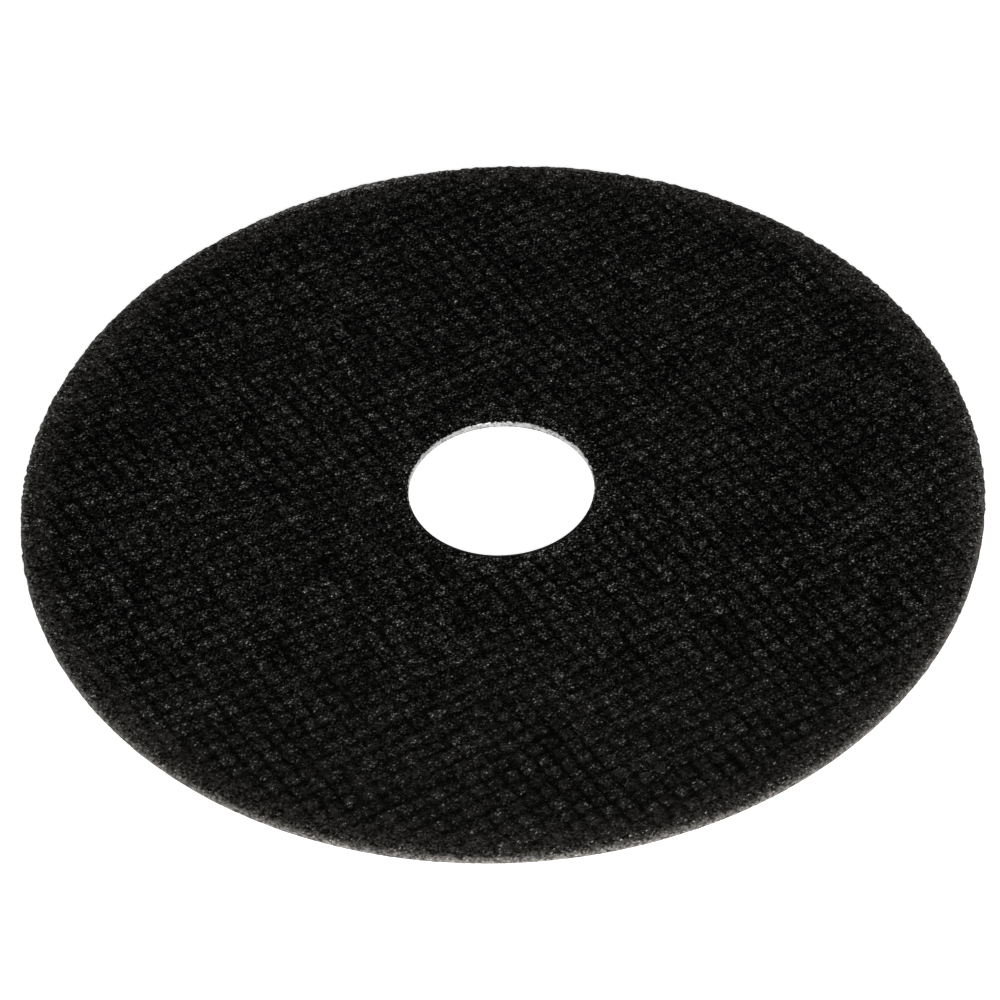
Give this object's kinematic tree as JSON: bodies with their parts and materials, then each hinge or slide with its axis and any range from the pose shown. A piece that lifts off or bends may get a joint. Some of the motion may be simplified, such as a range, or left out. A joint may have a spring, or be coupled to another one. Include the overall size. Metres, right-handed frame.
{
  "type": "cut-off wheel",
  "caption": "Thin flat abrasive cut-off wheel for an angle grinder, its face pressed with a woven pattern, with a metal ring lining the bore.",
  "frame": {"origin": "centre of the underside, on the bore's axis", "axes": "+Z along the bore's axis, up out of the woven face; the wheel lies flat on its underside"},
  "size_m": [0.115, 0.115, 0.001],
  "materials": {
    "abrasive": "near-black resin-bonded grit, rough, with fine grey glints",
    "ring": "bright tinned sheet metal, lightly brushed"
  },
  "bodies": {
    "root": {"abrasive_disc": "abrasive", "bore_ring": "ring"}
  },
  "joints": []
}
